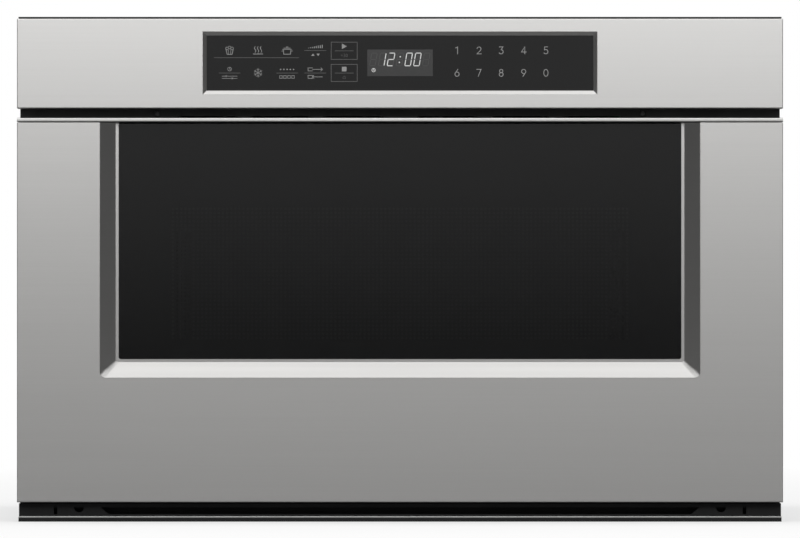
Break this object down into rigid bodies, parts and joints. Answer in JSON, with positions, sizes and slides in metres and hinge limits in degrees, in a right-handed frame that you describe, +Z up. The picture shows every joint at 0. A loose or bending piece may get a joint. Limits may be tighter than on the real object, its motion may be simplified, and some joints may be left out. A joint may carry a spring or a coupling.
{
  "type": "microwave drawer",
  "caption": "Built-in microwave oven whose windowed steel front and food compartment run out together as a drawer, under a touch control panel.",
  "frame": {"origin": "middle of the whole object's footprint, on the surface it stands on", "axes": "+X to the right seen from the front, +Y to the rear, +Z up; the steel fronts face -Y"},
  "size_m": [0.759, 0.594, 0.5],
  "materials": {
    "steel_front": "fine horizontal brushing",
    "bar_aluminium": "satin anodised",
    "black_paint": "satin black",
    "galvanised": "galvanised sheet",
    "cavity_enamel": "satin light grey enamel",
    "choke_paint": "satin dark grey",
    "screen_paint": "matt black",
    "choke_plastic": "moulded",
    "door_glass": "dark printed border, clear over the screen",
    "touch_glass": "back-printed dark",
    "tray_glass": "pale toughened glass ceramic",
    "cover_sheet": "microwave-clear sheet",
    "stirrer_metal": "pressed sheet",
    "motor_metal": "plated steel can",
    "magnetron_metal": "fins in a plated yoke",
    "transformer": "varnished laminations and copper windings",
    "capacitor_can": "drawn can",
    "lamp_tin": "tinned",
    "board_green": "solder mask",
    "display_plastic": "filter and case",
    "carrier_plastic": "moulded",
    "fan_plastic": "moulded",
    "shroud_plastic": "moulded",
    "slide_zinc": "zinc plated",
    "cage_steel": "strip",
    "gear_plastic": "natural acetal",
    "pinion_brass": "machined",
    "rack_plastic": "moulded acetal",
    "switch_plastic": "moulded, on a plated bracket",
    "hook_plastic": "moulded acetal",
    "bumper_rubber": "soft",
    "gland_plastic": "moulded"
  },
  "bodies": {
    "chassis": {"base_plate": "galvanised", "front_frame": "black_paint", "side_panel_right": "galvanised", "side_panel_left": "galvanised", "rear_panel": "galvanised", "top_cover": "galvanised", "bottom_trim": "black_paint", "oven_cavity": "cavity_enamel", "waveguide": "galvanised", "stirrer_motor": "motor_metal", "stirrer_cover": "cover_sheet", "magnetron": "magnetron_metal", "fan_shroud": "shroud_plastic", "fan_motor": "motor_metal", "hv_transformer": "transformer", "hv_capacitor": "capacitor_can", "oven_lamp": "lamp_tin", "power_board": "board_green", "noise_filter_board": "board_green", "cord_gland": "gland_plastic", "slide_outer_right": "slide_zinc", "slide_outer_left": "slide_zinc", "slide_brackets": "galvanised", "drive_bracket": "galvanised", "drive_motor": "motor_metal", "rack_guide": "galvanised", "interlock_switches": "switch_plastic", "control_fascia": "steel_front", "control_bezel": "steel_front", "touch_glass": "touch_glass", "display_module": "display_plastic", "control_board": "board_green", "control_carrier": "carrier_plastic"},
    "drawer": {"door_skin": "steel_front", "door_top_trim": "bar_aluminium", "window_bezel": "steel_front", "door_glass": "door_glass", "door_inner_panel": "black_paint", "door_bumpers": "bumper_rubber", "door_choke_frame": "choke_paint", "window_screen": "screen_paint", "choke_cover": "choke_plastic", "drawer_floor": "cavity_enamel", "drawer_side_right": "cavity_enamel", "drawer_side_left": "cavity_enamel", "drawer_rear": "cavity_enamel", "glass_tray": "tray_glass", "slide_inner_right": "slide_zinc", "slide_inner_left": "slide_zinc", "drawer_rack": "rack_plastic", "latch_hooks": "hook_plastic"},
    "slide_middles": {"slide_middle_right": "slide_zinc", "slide_middle_left": "slide_zinc"},
    "outer_cages": {"outer_ball_cages": "cage_steel"},
    "inner_cages": {"inner_ball_cages": "cage_steel"},
    "output_gear": {"output_gear": "gear_plastic"},
    "reduction_gear": {"reduction_gear": "gear_plastic"},
    "motor_pinion": {"motor_pinion": "pinion_brass"},
    "stirrer": {"stirrer": "stirrer_metal"},
    "fan_blade": {"fan_blade": "fan_plastic"}
  },
  "joints": [
    {"name": "drawer_slide", "type": "slide", "parent": "chassis", "child": "drawer", "axis": [0, -1, 0], "range_m": [0, 0.39]},
    {"name": "slide_middle_slide", "type": "slide", "parent": "chassis", "child": "slide_middles", "axis": [0, -1, 0], "range_m": [0, 0.195]},
    {"name": "outer_cage_slide", "type": "slide", "parent": "chassis", "child": "outer_cages", "axis": [0, -1, 0], "range_m": [0, 0.0975]},
    {"name": "inner_cage_slide", "type": "slide", "parent": "chassis", "child": "inner_cages", "axis": [0, -1, 0], "range_m": [0, 0.2925]},
    {"name": "output_gear_turn", "type": "hinge", "parent": "chassis", "child": "output_gear", "pos_m": [0, -0.222, 0.076], "axis": [1, 0, 0], "range_deg": [0, 1600]},
    {"name": "reduction_gear_turn", "type": "hinge", "parent": "chassis", "child": "reduction_gear", "pos_m": [0.02, -0.192, 0.076], "axis": [1, 0, 0], "range_deg": [-4800, 0]},
    {"name": "motor_pinion_turn", "type": "hinge", "parent": "chassis", "child": "motor_pinion", "pos_m": [0.027, -0.166, 0.076], "axis": [1, 0, 0], "range_deg": [0, 16000]},
    {"name": "stirrer_turn", "type": "hinge", "parent": "chassis", "child": "stirrer", "pos_m": [0, -0.02, 0.34], "axis": [0, 0, 1], "continuous": true},
    {"name": "fan_turn", "type": "hinge", "parent": "chassis", "child": "fan_blade", "pos_m": [0.095, 0.247, 0.429], "axis": [1, 0, 0], "continuous": true}
  ],
  "couplings": [
    {"joint": "slide_middle_slide", "follows": "drawer_slide", "ratio": 0.5},
    {"joint": "outer_cage_slide", "follows": "drawer_slide", "ratio": 0.25},
    {"joint": "inner_cage_slide", "follows": "drawer_slide", "ratio": 0.75},
    {"joint": "output_gear_turn", "follows": "drawer_slide", "rad_per_m": 71.429},
    {"joint": "reduction_gear_turn", "follows": "drawer_slide", "rad_per_m": -214.29},
    {"joint": "motor_pinion_turn", "follows": "drawer_slide", "rad_per_m": 714.29}
  ]
}
